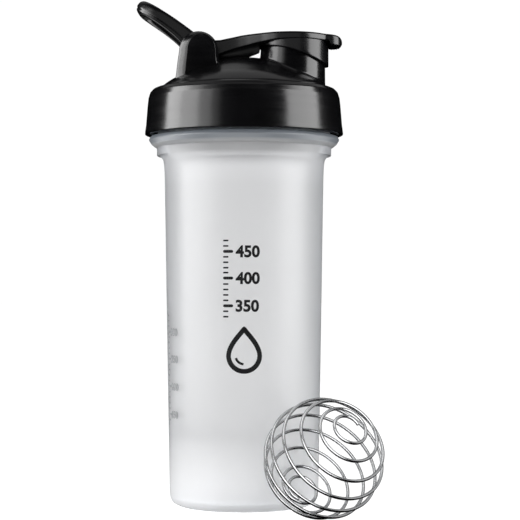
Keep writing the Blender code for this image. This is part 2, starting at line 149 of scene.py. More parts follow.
def rounded(points, n=5, closed=False, support=0.14):
    """Rounds the corners of an (r, z, fillet) outline. Every corner gives the same number of rows."""
    out = []
    count = len(points)
    for i, p in enumerate(points):
        f = p[2] if len(p) > 2 else 0.0
        if not closed and i in (0, count - 1):
            out.append((p[0], p[1]))
            continue
        a, b = points[i - 1], points[(i + 1) % count]
        va, vb = (a[0] - p[0], a[1] - p[1]), (b[0] - p[0], b[1] - p[1])
        la, lb = math.hypot(*va), math.hypot(*vb)
        if f <= 0 or la < 1e-6 or lb < 1e-6:
            out.append((p[0], p[1]))
            continue
        ua, ub = (va[0] / la, va[1] / la), (vb[0] / lb, vb[1] / lb)
        half = math.acos(max(-1.0, min(1.0, ua[0] * ub[0] + ua[1] * ub[1]))) / 2
        t = f / max(0.05, math.tan(half))
        t = max(0.02, min(t, 0.44 * la, 0.44 * lb))
        s = min(support, 0.05 * min(la, lb))
        pa, pb = (p[0] + ua[0] * t, p[1] + ua[1] * t), (p[0] + ub[0] * t, p[1] + ub[1] * t)
        out.append((p[0] + ua[0] * (t + s), p[1] + ua[1] * (t + s)))
        for k in range(n + 1):
            u = k / n
            out.append((
                (1 - u) ** 2 * pa[0] + 2 * u * (1 - u) * p[0] + u * u * pb[0],
                (1 - u) ** 2 * pa[1] + 2 * u * (1 - u) * p[1] + u * u * pb[1],
            ))
        out.append((p[0] + ub[0] * (t + s), p[1] + ub[1] * (t + s)))
    return out


def turned(profile, seg, cx=0.0, cy=0.0, ring=False):
    rows = [profile(2 * math.pi * j / seg) for j in range(seg)]
    n = len(rows[0])
    verts, index = [], {}
    for i in range(n):
        pole = not ring and i in (0, n - 1)
        for j in range(seg):
            if pole and j:
                index[i, j] = index[i, 0]
                continue
            r, z = rows[j][i]
            a = 2 * math.pi * j / seg
            index[i, j] = len(verts)
            verts.append((cx + r * math.cos(a), cy + r * math.sin(a), z))
    faces = []
    for i in range(n if ring else n - 1):
        k = (i + 1) % n
        for j in range(seg):
            l = (j + 1) % seg
            f = [index[i, j], index[i, l], index[k, l], index[k, j]]
            f = [v for q, v in enumerate(f) if v != f[q - 1]]
            if len(f) > 2:
                faces.append(f)
    return verts, faces


def loft(sections):
    n = len(sections[0])
    verts = [p for s in sections for p in s]
    faces = []
    for i in range(len(sections) - 1):
        for j in range(n):
            k = (j + 1) % n
            faces.append([i * n + j, i * n + k, (i + 1) * n + k, (i + 1) * n + j])
    faces.append(list(range(n))[::-1])
    last = (len(sections) - 1) * n
    faces.append([last + j for j in range(n)])
    return verts, faces


def piece(name, verts, faces, mat=None, sharp=38.0):
    mesh = bpy.data.meshes.new(name)
    mesh.from_pydata([(x * MM, y * MM, z * MM) for x, y, z in verts], [], faces)
    bm = bmesh.new()
    bm.from_mesh(mesh)
    bmesh.ops.recalc_face_normals(bm, faces=bm.faces)
    bm.to_mesh(mesh)
    bm.free()
    mesh.shade_smooth()
    mesh.set_sharp_from_angle(angle=math.radians(sharp))
    obj = bpy.data.objects.new(name, mesh)
    bpy.context.scene.collection.objects.link(obj)
    if mat:
        mesh.materials.append(mat)
    return obj


def cylinder_y(name, x, z, r, y0, y1, seg, mat=None, chamfer=0.0, steps=4):
    stations = [(y0, r - chamfer)]
    if chamfer:
        for k in range(1, steps + 1):
            a = math.pi / 2 * k / steps
            stations.append((y0 + chamfer * (1 - math.cos(a)), r - chamfer + chamfer * math.sin(a)))
        for k in range(steps, 0, -1):
            a = math.pi / 2 * k / steps
            stations.append((y1 - chamfer * (1 - math.cos(a)), r - chamfer + chamfer * math.sin(a)))
    stations.append((y1, r - chamfer))
    sections = [
        [(x + q * math.cos(2 * math.pi * j / seg), y, z + q * math.sin(2 * math.pi * j / seg)) for j in range(seg)]
        for y, q in stations
    ]
    return piece(name, *loft(sections), mat=mat)


def combine(obj, other, operation, sharp=38.0):
    """Boolean applied at once; the other object is used up."""
    mod = obj.modifiers.new("combine", "BOOLEAN")
    mod.operation = operation
    mod.solver = "EXACT"
    mod.object = other
    dg = bpy.context.evaluated_depsgraph_get()
    dg.update()
    made = bpy.data.meshes.new_from_object(obj.evaluated_get(dg))
    obj.modifiers.clear()
    made.name = obj.name
    obj.data = made
    bpy.data.objects.remove(other, do_unlink=True)
    made.shade_smooth()
    made.set_sharp_from_angle(angle=math.radians(sharp))
    return obj


def tidy(obj, sharp=38.0, merge=0.000004):
    """Merges points that a boolean left on top of each other and drops faces with no area."""
    bm = bmesh.new()
    bm.from_mesh(obj.data)
    bmesh.ops.remove_doubles(bm, verts=bm.verts, dist=merge)
    bmesh.ops.dissolve_degenerate(bm, edges=bm.edges, dist=merge)
    bm.to_mesh(obj.data)
    bm.free()
    obj.data.shade_smooth()
    obj.data.set_sharp_from_angle(angle=math.radians(sharp))


# ---------------------------------------------------------------- materials
def new_material(name):
    m = bpy.data.materials.new(name)
    m.use_nodes = True
    nt = m.node_tree
    return m, nt, nt.nodes["Principled BSDF"]


def node(nt, kind, **values):
    n = nt.nodes.new(kind)
    for k, v in values.items():
        if k in n.inputs:
            n.inputs[k].default_value = v
        else:
            setattr(n, k, v)
    return n


def noise(nt, coords, scale, detail=3.0, roughness=0.55, stretch=None):
    tex = node(nt, "ShaderNodeTexNoise", Scale=scale, Detail=detail, Roughness=roughness)
    source = coords
    if stretch:
        mapping = node(nt, "ShaderNodeMapping")
        mapping.inputs["Scale"].default_value = stretch
        nt.links.new(coords, mapping.inputs["Vector"])
        source = mapping.outputs["Vector"]
    nt.links.new(source, tex.inputs["Vector"])
    return tex.outputs["Fac"]


def ramp(nt, fac, stops):
    r = nt.nodes.new("ShaderNodeValToRGB")
    els = r.color_ramp.elements
    while len(els) < len(stops):
        els.new(0.5)
    for e, (p, c) in zip(els, stops):
        e.position = p
        e.color = (*c, 1.0) if len(c) == 3 else c
    nt.links.new(fac, r.inputs["Fac"])
    return r.outputs["Color"]


def remap(nt, fac, lo, hi, a=0.0, b=1.0):
    r = node(nt, "ShaderNodeMapRange")
    r.inputs["From Min"].default_value = a
    r.inputs["From Max"].default_value = b
    r.inputs["To Min"].default_value = lo
    r.inputs["To Max"].default_value = hi
    nt.links.new(fac, r.inputs["Value"])
    return r.outputs["Result"]


def bump(nt, p, layers):
    """layers: (height socket, strength, distance in mm), laid over each other."""
    last = None
    for height, strength, distance in layers:
        b = node(nt, "ShaderNodeBump", Strength=strength, Distance=distance * MM)
        nt.links.new(height, b.inputs["Height"])
        if last:
            nt.links.new(last, b.inputs["Normal"])
        last = b.outputs["Normal"]
    nt.links.new(last, p.inputs["Normal"])


def black_plastic(name, base, rough, level=0.5, grain=0.012, streaks=True):
    m, nt, p = new_material(name)
    co = node(nt, "ShaderNodeTexCoord").outputs["Object"]
    broad = noise(nt, co, 60.0, 2.0)
    fine = noise(nt, co, 1800.0, 2.0)
    nt.links.new(ramp(nt, broad, [(0.3, [c * 0.75 for c in base]), (0.7, [c * 1.3 for c in base])]), p.inputs["Base Color"])
    band = noise(nt, co, 70.0, 4.0, 0.65, stretch=(0.3, 0.3, 9.0))
    mixed = node(nt, "ShaderNodeMath", operation="ADD")
    nt.links.new(remap(nt, fine, -0.012, 0.012, 0.3, 0.7), mixed.inputs[0])
    nt.links.new(remap(nt, band if streaks else broad, rough - 0.03, rough + 0.05, 0.3, 0.7), mixed.inputs[1])
    nt.links.new(mixed.outputs["Value"], p.inputs["Roughness"])
    p.inputs["IOR"].default_value = 1.49
    p.inputs["Specular IOR Level"].default_value = level
    layers = [(fine, grain, 0.03)]
    if streaks:
        layers.append((band, 0.035, 0.06))
    bump(nt, p, layers)
    return m


def frosted_plastic(name="frosted_polypropylene", milky=0.0):
    """Milky, see-through plastic. The thick collar, and anything made with milky above 0, scatters more and looks cool grey."""
    m, nt, p = new_material(name)
    co = node(nt, "ShaderNodeTexCoord").outputs["Object"]
    cloud = noise(nt, co, 26.0, 3.0)
    fine = noise(nt, co, 1900.0, 2.0)
    flow = noise(nt, co, 120.0, 3.0, 0.6, stretch=(1.0, 1.0, 0.12))
    parts = node(nt, "ShaderNodeSeparateXYZ")
    nt.links.new(co, parts.inputs["Vector"])
    edge = node(nt, "ShaderNodeMath", operation="MINIMUM")
    nt.links.new(remap(nt, parts.outputs["Z"], milky, 1.0, 170.6 * MM, 172.8 * MM), edge.inputs[0])
    nt.links.new(remap(nt, parts.outputs["Z"], 1.0, milky, 177.2 * MM, 178.6 * MM), edge.inputs[1])
    collar = edge.outputs[0]
    clear = ramp(nt, cloud, [(0.3, (0.838, 0.834, 0.832)), (0.7, (0.855, 0.851, 0.848))])
    # painted light: from 152 mm to 164 mm up, the wall's colour turns almost white, brightening the upper wall that the
    # lid shades
    neck_painted_light = node(nt, "ShaderNodeMix", data_type="RGBA")
    nt.links.new(remap(nt, parts.outputs["Z"], 0.0, 1.0, 152.0 * MM, 164.0 * MM), neck_painted_light.inputs["Factor"])
    nt.links.new(clear, neck_painted_light.inputs[6])
    neck_painted_light.inputs[7].default_value = (0.99, 0.985, 0.985, 1.0)
    thick = ramp(nt, cloud, [(0.3, (0.150, 0.166, 0.186)), (0.7, (0.162, 0.178, 0.198))])
    mix = node(nt, "ShaderNodeMix", data_type="RGBA")
    nt.links.new(collar, mix.inputs["Factor"])
    nt.links.new(neck_painted_light.outputs[2], mix.inputs[6])
    nt.links.new(thick, mix.inputs[7])
    # the thick base is milky; besides that, painted light: up to 36 mm the wall turns whiter and less see-through
    # towards the bottom, to brighten the lower wall
    foot = remap(nt, parts.outputs["Z"], 1.0, 0.0, 3.0 * MM, 36.0 * MM)
    low = node(nt, "ShaderNodeMix", data_type="RGBA")
    nt.links.new(foot, low.inputs["Factor"])
    nt.links.new(mix.outputs[2], low.inputs[6])
    low.inputs[7].default_value = (0.89, 0.89, 0.895, 1.0)
    nt.links.new(low.outputs[2], p.inputs["Base Color"])
    through = node(nt, "ShaderNodeMath", operation="MULTIPLY_ADD")
    nt.links.new(foot, through.inputs[0])
    through.inputs[1].default_value = -0.36
    nt.links.new(remap(nt, collar, 0.945, 0.65), through.inputs[2])
    nt.links.new(through.outputs[0], p.inputs["Transmission Weight"])
    nt.links.new(remap(nt, fine, 0.34, 0.40, 0.3, 0.7), p.inputs["Roughness"])
    p.inputs["IOR"].default_value = 1.45
    p.inputs["Specular IOR Level"].default_value = 0.75
    bump(nt, p, [(fine, 0.03, 0.04), (flow, 0.03, 0.06)])
    # light dims a little on its way through the plastic, red first, so that edges and thick places turn cool grey
    absorb = node(nt, "ShaderNodeVolumeAbsorption", Color=(0.0, 0.10, 0.22, 1.0), Density=50.0)
    nt.links.new(absorb.outputs["Volume"], nt.nodes["Material Output"].inputs["Volume"])
    return m


def steel():
    m, nt, p = new_material("stainless_wire")
    co = node(nt, "ShaderNodeTexCoord").outputs["Object"]
    broad = noise(nt, co, 180.0, 3.0)
    fine = noise(nt, co, 3200.0, 2.0)
    nt.links.new(ramp(nt, broad, [(0.3, (0.56, 0.57, 0.585)), (0.7, (0.68, 0.685, 0.69))]), p.inputs["Base Color"])
    nt.links.new(remap(nt, broad, 0.13, 0.20, 0.3, 0.7), p.inputs["Roughness"])
    p.inputs["Metallic"].default_value = 1.0
    bump(nt, p, [(fine, 0.03, 0.015)])
    return m


def silicone():
    m, nt, p = new_material("seal_silicone")
    co = node(nt, "ShaderNodeTexCoord").outputs["Object"]
    broad = noise(nt, co, 150.0, 3.0)
    fine = noise(nt, co, 2400.0, 2.0)
    nt.links.new(ramp(nt, broad, [(0.3, (0.18, 0.185, 0.19)), (0.7, (0.24, 0.245, 0.25))]), p.inputs["Base Color"])
    nt.links.new(remap(nt, fine, 0.52, 0.66, 0.3, 0.7), p.inputs["Roughness"])
    p.inputs["Subsurface Weight"].default_value = 0.15
    p.inputs["Subsurface Radius"].default_value = (0.002, 0.002, 0.002)
    p.inputs["Subsurface Scale"].default_value = 0.5
    bump(nt, p, [(fine, 0.08, 0.04)])
    return m


def ink():
    m, nt, p = new_material("black_ink")
    co = node(nt, "ShaderNodeTexCoord").outputs["Object"]
    broad = noise(nt, co, 300.0, 3.0)
    fine = noise(nt, co, 4000.0, 2.0)
    nt.links.new(ramp(nt, broad, [(0.3, (0.004, 0.004, 0.0045)), (0.7, (0.009, 0.009, 0.010))]), p.inputs["Base Color"])
    nt.links.new(remap(nt, fine, 0.42, 0.56, 0.3, 0.7), p.inputs["Roughness"])
    p.inputs["Specular IOR Level"].default_value = 0.3
    bump(nt, p, [(fine, 0.06, 0.02)])
    return m


# ---------------------------------------------------------------- screw thread
def lug_height(deg):
    a = deg % 180.0
    ramp_ = 14.0
    if a > LUG_SWEEP:
        return 0.0
    return smoothstep(a / ramp_) * smoothstep((LUG_SWEEP - a) / ramp_)


def lug_rise(deg):
    a = deg % 180.0
    if a <= LUG_SWEEP:
        return LEAD * a / 360.0
    return LEAD * LUG_SWEEP / 360.0 * (180.0 - a) / (180.0 - LUG_SWEEP)


def ridge_rows(deg, root, crest, z0):
    h = lug_height(deg)
    z = z0 + lug_rise(deg)
    r = root + (crest - root) * h
    return [(root, z - 1.25, 0.3), (r, z - 0.62, 0.35), (r, z + 0.62, 0.35), (root, z + 1.25, 0.3)]


# ---------------------------------------------------------------- tumbler
WALL_R = smooth_curve([(4, 35.4), (9, 35.72), (14, 35.8), (60, 36.6), (110, 37.4), (150, 38.04), (158, 38.2), (162, 38.42), (164.3, 38.72), (165.6, 39.2), (166.4, 39.95), (166.9, 40.9)])


def tab(angle):
    return smoothstep((abs(math.cos(angle)) - math.cos(math.radians(31))) / (math.cos(math.radians(22)) - math.cos(math.radians(31))))


FLARE_R = smooth_curve([(150, 38.04), (158, 38.2), (161, 38.42), (163.5, 38.85), (165.5, 39.4), (167.0, 39.95), (168.5, 40.6), (169.8, 41.2), (170.9, 41.75)])


def tumbler_rows(angle):
    t = tab(angle)

    gi, go, gd = BASE_GROOVE
    pts = [(0, 0), (8, 0), (16, 0), (BASE_FLAT_R, 0, 0.9), (gi, gd, 0.9), (24.2, gd), (go, gd, 0.9), (go + 1.6, 0, 0.9), (FOOT_R - 0.9, 0, 1.6), (34.3, 1.3, 2.6), (35.38, 4.0, 3.0)]
    pts += [(WALL_R(z), z) for z in (6, 8, 10, 12, 14, 18, 24, 32, 40, 50, 60, 70, 80, 90, 100, 110, 120, 130, 140, 147)]
    pts += [(FLARE_R(z) + (WALL_R(z) - FLARE_R(z)) * t, z) for z in (153, 157, 160, 162, 163.4, 164.4, 165.2, 165.8, 166.3, 166.7, 166.9)]
    f0, f1 = FLARE_R(167.2), FLARE_R(LEDGE_Z1)
    pts += [(f0 + (41.86 - f0) * t, 167.2 - 0.15 * t, 0.45), (f1 + (41.9 - f1) * t, LEDGE_Z1 - 0.05, 0.5), (43.1, 171.4), (44.45, 172.5, 1.2), (COLLAR_R, COLLAR_Z, 0.7), (44.95, 176.2, 0.5), (NECK_R, 176.6, 0.3)]
    pts += ridge_rows(math.degrees(angle), NECK_R, RIDGE_CREST_R, RIDGE_Z0)
    pts += [(NECK_R, 193.0), (NECK_R, RIM_Z, 0.85), (NECK_BORE_R, RIM_Z, 0.6), (NECK_BORE_R, 188.0), (NECK_BORE_R, 180.0), (NECK_BORE_R, 172.0, 2.5), (37.3, 165.2, 4.0)]
    pts += [(WALL_R(z) - WALL, z) for z in (160, 157, 150, 140, 130, 120, 110, 100, 90, 80, 70, 60, 50, 40, 32, 24, 18, 14)]
    pts += [(33.55, 8.6, 3.5), (32.0, 5.1, 2.5), (28.4, FLOOR_Z + 0.1, 3.5), (18, FLOOR_Z + 0.02), (9, FLOOR_Z), (0, FLOOR_Z)]
    return rounded(pts, 5)


# ---------------------------------------------------------------- lid
DOME = [
    (0, 214.0), (7, 213.8), (14, 212.8), (21.8, 209.9), (30.0, 205.9), (34.3, 203.85),
    (36.8, 202.3), (39.4, 200.4), (40.4, 199.2), (41.0, 198.4), (41.6, 198.7), (42.3, 199.4),
]
DOME_SMOOTH = smooth_curve(DOME[:8])


def dome_z(r):
    return DOME_SMOOTH(r) if r <= 39.4 else interp(r, DOME)


def lid_rows(angle):
    pi_, po, pz = PLUG_RING
    pts = [(0, 214.0)] + [(r, DOME_SMOOTH(r)) for r in (2, 4, 6, 8, 10, 12, 14, 16, 18, 20, 22, 24, 26, 28, 30, 32, 33.5, 35, 36.4, 37.8, 38.8)]
    pts += [(39.7, 200.1, 0.8), (41.0, 198.5, 0.55), (42.2, 199.35, 0.6), (43.7, 198.75, 0.9), (45.15, 197.2, 1.4), (45.95, 194.6, 2.0)]
    pts += [(46.3, 191.6), (46.55, 188.6), (46.8, 185.4), (47.1, 181.8), (47.5, 178.9), (SKIRT_R, SKIRT_Z, 1.0), (SKIRT_BORE_R + 0.35, SKIRT_Z, 0.5), (SKIRT_BORE_R, 178.2, 0.3)]
    pts += ridge_rows(math.degrees(angle), SKIRT_BORE_R, LID_LUG_CREST_R, RIDGE_Z0 - LID_LUG_DROP)
    pts += [(SKIRT_BORE_R, GROOVE_Z, 0.5), (po, GROOVE_Z, 0.3), (po, pz, 0.45), (pi_, pz, 0.4)]
    pts += [(pi_, 198.4, 1.2), (33.6, 201.85, 2.0), (30.4, 203.5), (27.2, 205.0), (23.2, 206.9), (19.2, 208.6), (16, 209.8), (13, 210.7), (9.5, 211.4), (6, 211.75), (3, 211.88), (0, 214.0 - DOME_WALL)]
    return rounded(pts, 5)


def spout_rows(angle):
    def surface(q):
        x = SPOUT_X + q * math.cos(angle)
        y = q * math.sin(angle)
        return dome_z(math.hypot(x, y))

    b, t = SPOUT_R_BASE, SPOUT_R_TOP
    s = surface(b)
    rows = [(0, surface(0) - 1.3), (5, surface(5) - 1.1), (SPOUT_BORE_R - 1.5, surface(SPOUT_BORE_R - 1.5) - 0.9), (b - 1.6, surface(b - 1.6) - 0.9), (b + 0.7, surface(b + 0.7) - 0.5)]
    rows += [(b + 0.62, surface(b + 0.62) + 0.02), (b + 0.34, s + 0.2), (b + 0.14, s + 0.48), (b + 0.02, s + 0.9), (b - 0.02, s + 1.5)]
    rows += [(b - 0.1, 212.0 + 0.3 * (s - 204)), (t + 0.12, 216.0), (t + 0.02, 218.3), (t, SPOUT_TOP - 0.9)]
    rows += [(t - 0.06, SPOUT_TOP - 0.55), (t - 0.24, SPOUT_TOP - 0.24), (t - 0.55, SPOUT_TOP - 0.06), (t - 0.95, SPOUT_TOP), (SPOUT_BORE_R - 1.0, SPOUT_TOP), (5, SPOUT_TOP), (0, SPOUT_TOP)]
    return rows


def tower_ring(y, inset, foot=0.0):
    """Outline of a hinge tower at distance y from the middle plane, inset from 0, the full outline, to 1, its flat outer face.
    foot is how far it spreads where it meets the dome."""
    cx, half = -20.1, 6.5
    side_l = smooth_curve([(0.0, -32.4), (0.45, -31.75), (1.0, TOWER_X - TOWER_R)])
    pts = []
    steps = 9
    for i in range(steps):
        f = i / steps
        pts.append((side_l(f), f, "left"))
    for i in range(33):
        a = math.radians(180 - 180 * i / 32)
        pts.append((TOWER_X + TOWER_R * math.cos(a), TOWER_Z + TOWER_R * math.sin(a), "arc"))
    for i in range(1, 7):
        f = i / 6
        pts.append((TOWER_X + TOWER_R + 0.7 * f ** 1.6, f, "right"))
    for i in range(1, 16):
        f = i / 16
        pts.append((-11.6 + (-32.4 + 11.6) * f, 0.0, "under"))
    ring = []
    for x, q, kind in pts:
        x1 = cx + (x - TOWER_X) * half / TOWER_R
        xx = x + (x1 - x) * inset
        ground = dome_z(math.hypot(xx, y))
        if kind == "arc":
            z1 = TOWER_Z + (q - TOWER_Z) * 7.8 / TOWER_R
            zz = q + (z1 - q) * inset
        elif kind == "left":
            zz = ground - 0.9 + (TOWER_Z - ground + 0.9) * q
        elif kind == "right":
            zz = TOWER_Z + (ground - 0.9 - TOWER_Z) * q
        else:
            zz = ground - 0.9
        if kind in ("left", "right"):
            over = zz - ground
            flare = foot * math.exp(-max(0.0, over + 0.2) / 0.55)
            xx += -flare if kind == "left" else flare
        ring.append((xx, y, zz))
    return ring


def make_lid(mat):
    lid = piece("lid_body", *turned(lid_rows, SEG), mat=mat)
    combine(lid, piece("spout_form", *turned(spout_rows, 112, SPOUT_X, 0.0)), "UNION")
    bevel = [(14.8, 0.0), (15.15, 0.0), (15.35, 0.015), (15.6, 0.06), (15.95, 0.15), (16.35, 0.27), (16.8, 0.42), (17.2, 0.57), (17.55, 0.73), (17.78, 0.86), (17.92, 0.94), (17.985, 0.985), (18.0, 1.0)]
    for name, side in (("tower_front_form", -1), ("tower_rear_form", 1)):
        combine(lid, piece(name, *loft([tower_ring(side * y, k, 0.5) for y, k in bevel])), "UNION")
    bore_pts = [(0, 192), (SPOUT_BORE_R, 192), (SPOUT_BORE_R, 205), (SPOUT_BORE_R, SPOUT_TOP - 1.0), (SPOUT_BORE_R + 0.08, SPOUT_TOP - 0.55), (SPOUT_BORE_R + 0.3, SPOUT_TOP - 0.2), (SPOUT_BORE_R + 0.75, SPOUT_TOP + 0.05), (SPOUT_BORE_R + 0.95, SPOUT_TOP + 0.3), (SPOUT_BORE_R + 0.95, 226), (0, 226)]
    combine(lid, piece("bore_form", *turned(lambda a: bore_pts, 112, SPOUT_X, 0.0)), "DIFFERENCE")
    combine(lid, cylinder_y("pin_hole_form", HINGE_X, HINGE_Z, PIN_HOLE_R, -16.5, 19.0, 40), "DIFFERENCE")
    tidy(lid)
    return lid


# ---------------------------------------------------------------- flip cap
CAP_TOP = smooth_curve([
    (-24, 221.3), (-17, 221.8), (-11.9, 221.95), (-8.2, 222.6), (-4.4, 223.3), (-0.7, 223.95), (6.8, 224.6),
    (14.4, 224.95), (24, 225.05), (35, 224.95), (40, 224.75), (43.5, 224.4), (45.5, 223.8), (46.6, 222.9), (CAP_TIP_X, 221.9),
])
CAP_LOW = smooth_curve([
    (-24, 213.0), (-16, 213.4), (-12, 214.9), (-8, 216.3), (-4, 217.5), (1.1, 218.7), (9.5, 220.4), (16, 221.2), (24, 221.5),
    (40.3, 221.6), (41.2, 219.9), (43, 219.4), (45.5, 219.5), (46.6, 220.1), (CAP_TIP_X, 220.8),
])


CAP_ARM = smooth_curve([(-12, CAP_ARM_W), (-8, 8.9), (-4, 9.6), (0, 10.7), (4, 12.1), (8, 13.5), (12, 14.7), (15, 15.0), (18, 14.4), (22, 11.5), (26, 7.0)])


def cap_half_width(x):
    arm = CAP_ARM(x) if x < 26 else 0.0
    circle = math.sqrt(max(0.0, CAP_PLATE_R ** 2 - (x - SPOUT_X) ** 2))
    q = max(0.0, min(1.0, (x - 38.0) / (CAP_TIP_X + 0.05 - 38.0)))
    tab = 9.9 * (1 - q ** 2.6) ** (1 / 2.6) if x > 24 else 0.0
    return (arm ** 9 + circle ** 9 + tab ** 9) ** (1 / 9)


def cap_section(x):
    w, t, b = cap_half_width(x), CAP_TOP(x), CAP_LOW(x)
    c = min(1.15, (t - b) * 0.36, w * 0.3)
    e = min(0.7, (t - b) * 0.3, w * 0.3)
    crown = min(0.5, w * 0.05)
    half = []
    for k in range(11):
        y = (w - c) * k / 10
        half.append((y, t + crown * (1 - (y / w) ** 2) if k < 10 else t + crown * (1 - (y / w) ** 2)))
    drop = half[-1][1] - t
    for k in range(1, 7):
        a = math.pi / 2 * k / 6
        half.append((w - c + c * math.sin(a), t - c + c * math.cos(a) + drop * (1 - k / 6)))
    for k in range(1, 4):
        half.append((w, t - c + (b + e - (t - c)) * k / 4))
    for k in range(0, 6):
        a = math.pi / 2 * k / 5
        half.append((w - e + e * math.cos(a), b + e - e * math.sin(a)))
    for k in range(1, 7):
        half.append(((w - e) * (1 - k / 7), b))
    ring = [(x, y, z) for y, z in half]
    ring.append((x, 0.0, b))
    ring += [(x, -y, z) for y, z in reversed(half[1:])]
    return ring


def guard_low(x):
    if x < 12.5:
        return 220.0 - 1.3 * (x - 5.5) / 7.0
    return 218.7 - 8.7 * min(1.0, (x - 12.5) / 28.2) ** 1.4


def make_cap(mat):
    stations = [-24 + 0.8 * i for i in range(40)]
    stations += [8 + 0.55 * i for i in range(0, 58)]
    stations += [40.0, 40.2, 40.4, 40.6, 40.8, 41.0, 41.2, 41.5, 41.9]
    a0 = 42.3
    stations += [a0 + (CAP_TIP_X - a0) * math.sin(math.pi / 2 * k / 26) for k in range(27)]
    xs = sorted(set(round(x, 4) for x in stations))
    xs = [x for i, x in enumerate(xs) if i == 0 or x - xs[i - 1] > 0.004]
    cap = piece("flip_cap_shell", *loft([cap_section(x) for x in xs]), mat=mat)
    combine(cap, cylinder_y("knuckle_form", HINGE_X, HINGE_Z, KNUCKLE_R, -KNUCKLE_W, KNUCKLE_W, 72, chamfer=0.6), "UNION")
    rib_pts = [(-17, 217), (-13, 213.75), (-8, 214.2), (-3, 214.4), (1.2, 214.5), (2.6, 215.15), (5.0, 216.1), (7.3, 217.05), (7.6, 218.2), (7.6, 221.0), (-4, 220.5), (-17, 219)]
    rib_y = [(-2.6, 0.35), (-2.5, 0.12), (-2.25, 0.0), (2.25, 0.0), (2.5, 0.12), (2.6, 0.35)]
    cx, cz = -3.0, 218.2
    combine(cap, piece("rib_form", *loft([[(x + (cx - x) * k * 0.05, y, z + (cz - z) * k * 0.25) for x, z in rib_pts] for y, k in rib_y])), "UNION")

    def guard(a):
        x = SPOUT_X + GUARD_R_OUT * math.cos(a)
        z = guard_low(x)
        ri, ro = GUARD_R_IN, GUARD_R_OUT
        return [(ri, 222.9), (ri, z + 1.4), (ri, z + 0.3), (ri + 0.1, z + 0.1), (ri + 0.3, z), (ro - 0.42, z), (ro - 0.2, z + 0.06), (ro - 0.06, z + 0.2), (ro, z + 0.42), (ro, z + 1.6), (ro - 0.03, 222.9)]

    combine(cap, piece("guard_form", *turned(guard, 144, SPOUT_X, 0.0, ring=True)), "UNION")
    s = STOPPER_R
    stop_pts = rounded([(0, 223.0), (s, 223.0), (s, 219.0), (s, 216.4, 0.8), (s - 0.5, 214.6, 0.4), (s - 1.4, 214.4, 0.35), (s - 2.0, 215.2, 0.5), (s - 2.0, 220.3, 0.5), (5, 220.3), (0, 220.3)], 4)
    combine(cap, piece("stopper_form", *turned(lambda a: stop_pts, 96, SPOUT_X, 0.0)), "UNION")
    for i in range(4):
        x = 42.2 + 1.05 * i
        combine(cap, cylinder_y(f"grip_form_{i}", x, 219.33, 0.45, -12, 12, 20), "DIFFERENCE")
    combine(cap, cylinder_y("knuckle_hole_form", HINGE_X, HINGE_Z, PIN_HOLE_R, -14, 14, 40), "DIFFERENCE")
    tidy(cap)
    return cap


# ---------------------------------------------------------------- carry loop
LOOP_HIGH = smooth_curve([(0, 4.8), (4, 5.6), (7, 6.0), (17, 6.2), (24.5, 6.0), (31, 5.75), (34.8, 5.5), (LOOP_OUT_L, 4.9)])
LOOP_LOW = smooth_curve([(0, -4.6), (5, -3.2), (9, -1.7), (15.6, -0.75), (22, -0.5), (28.9, -0.7), (33.4, -0.95), (36, -0.5), (LOOP_OUT_L, 0.3)])


def loop_point(d, y, n):
    a = math.radians(LOOP_ANGLE)
    return (HINGE_X + d * math.cos(a) + n * math.sin(a), y, HINGE_Z + d * math.sin(a) - n * math.cos(a))


def loop_edge(t, straight, end, width, power):
    s, u = (1.0 if t > 0 else -1.0), abs(t)
    if u > 0.5:
        return straight * (1 - u) / 0.5, s * width
    a = u / 0.5 * math.pi / 2
    return (
        straight + (end - straight) * math.cos(a) ** (2 / power),
        s * width * math.sin(a) ** (2 / power),
    )


def make_loop(mat):
    steps, around = 240, 56
    sections = []
    for i in range(steps + 1):
        t = -1 + 2 * i / steps
        # the U's bend is drawn slowly where it runs fast, so that its sections stay even
        u = abs(t)
        if u < 0.5:
            t = math.copysign(0.5 * (0.5 - 0.5 * math.cos(math.pi * u / 0.5)) ** 1.0 if u else 0.0, t)
        do, yo = loop_edge(t, 22.0, LOOP_OUT_L, LOOP_OUT_W, 2.5)
        di, yi = loop_edge(t, 16.5, LOOP_IN_L, LOOP_IN_W, 2.3)
        ring = []
        for j in range(around):
            a = 2 * math.pi * (j + 0.5) / around
            ca, sa = math.cos(a), math.sin(a)
            p = 3.4
            q = (abs(ca) ** p + abs(sa) ** p) ** (-1 / p)
            f, k = 0.5 + 0.5 * ca * q, 0.5 + 0.5 * sa * q
            d, y = di + (do - di) * f, yi + (yo - yi) * f
            low, high = LOOP_LOW(d), LOOP_HIGH(d)
            # a shallow channel along the outer side, as on the real bar
            dent = 0.5 * math.exp(-((k - 0.2) / 0.055) ** 2) * smoothstep((f - 0.75) / 0.2) * smoothstep((d - 6) / 4)
            width = max(0.1, math.hypot(do - di, yo - yi))
            d -= (do - di) * dent / width
            y -= (yo - yi) * dent / width
            ring.append(loop_point(d, y, low + (high - low) * k))
        sections.append(ring)
    loop = piece("carry_loop_bar", *loft(sections), mat=mat, sharp=75)
    for name, s in (("hub_front_form", -1), ("hub_rear_form", 1)):
        y0, y1 = sorted((s * (LOOP_IN_W + 0.02), s * (LOOP_OUT_W - 0.02)))
        combine(loop, cylinder_y(name, HINGE_X, HINGE_Z, LOOP_HUB_R, y0, y1, 72, chamfer=0.4), "UNION", sharp=75)
    combine(loop, cylinder_y("loop_hole_form", HINGE_X, HINGE_Z, PIN_HOLE_R, -18, 18, 40), "DIFFERENCE", sharp=60)
    tidy(loop, sharp=60)
    return loop


